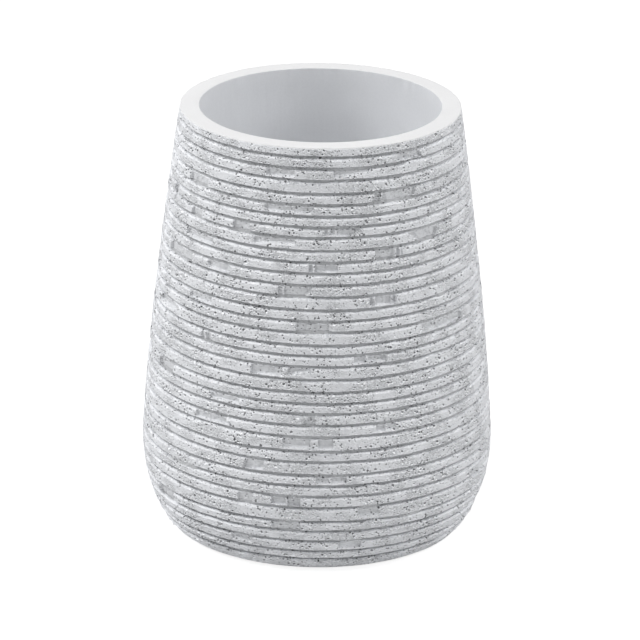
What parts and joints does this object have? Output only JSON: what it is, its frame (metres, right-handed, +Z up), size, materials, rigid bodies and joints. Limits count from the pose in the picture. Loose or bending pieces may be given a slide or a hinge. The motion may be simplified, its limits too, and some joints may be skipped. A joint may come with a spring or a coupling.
{
  "type": "bathroom tumbler",
  "caption": "Round-bellied bathroom tumbler cast in matt white stone resin, its outside cut into uneven horizontal ridges with broken stretches, on a foam base pad.",
  "frame": {"origin": "on the tumbler's axis, on the table that it stands on: the middle of the base pad's underside", "axes": "+Z up along the axis to the rim; -Y towards the side that the picture shows"},
  "size_m": [0.0842, 0.0842, 0.105],
  "materials": {
    "stone_resin": "matte",
    "adhesive_film": "satin",
    "pad_foam": "matte"
  },
  "bodies": {
    "root": {"body": "stone_resin", "pad_adhesive": "adhesive_film", "base_pad": "pad_foam"}
  },
  "joints": []
}
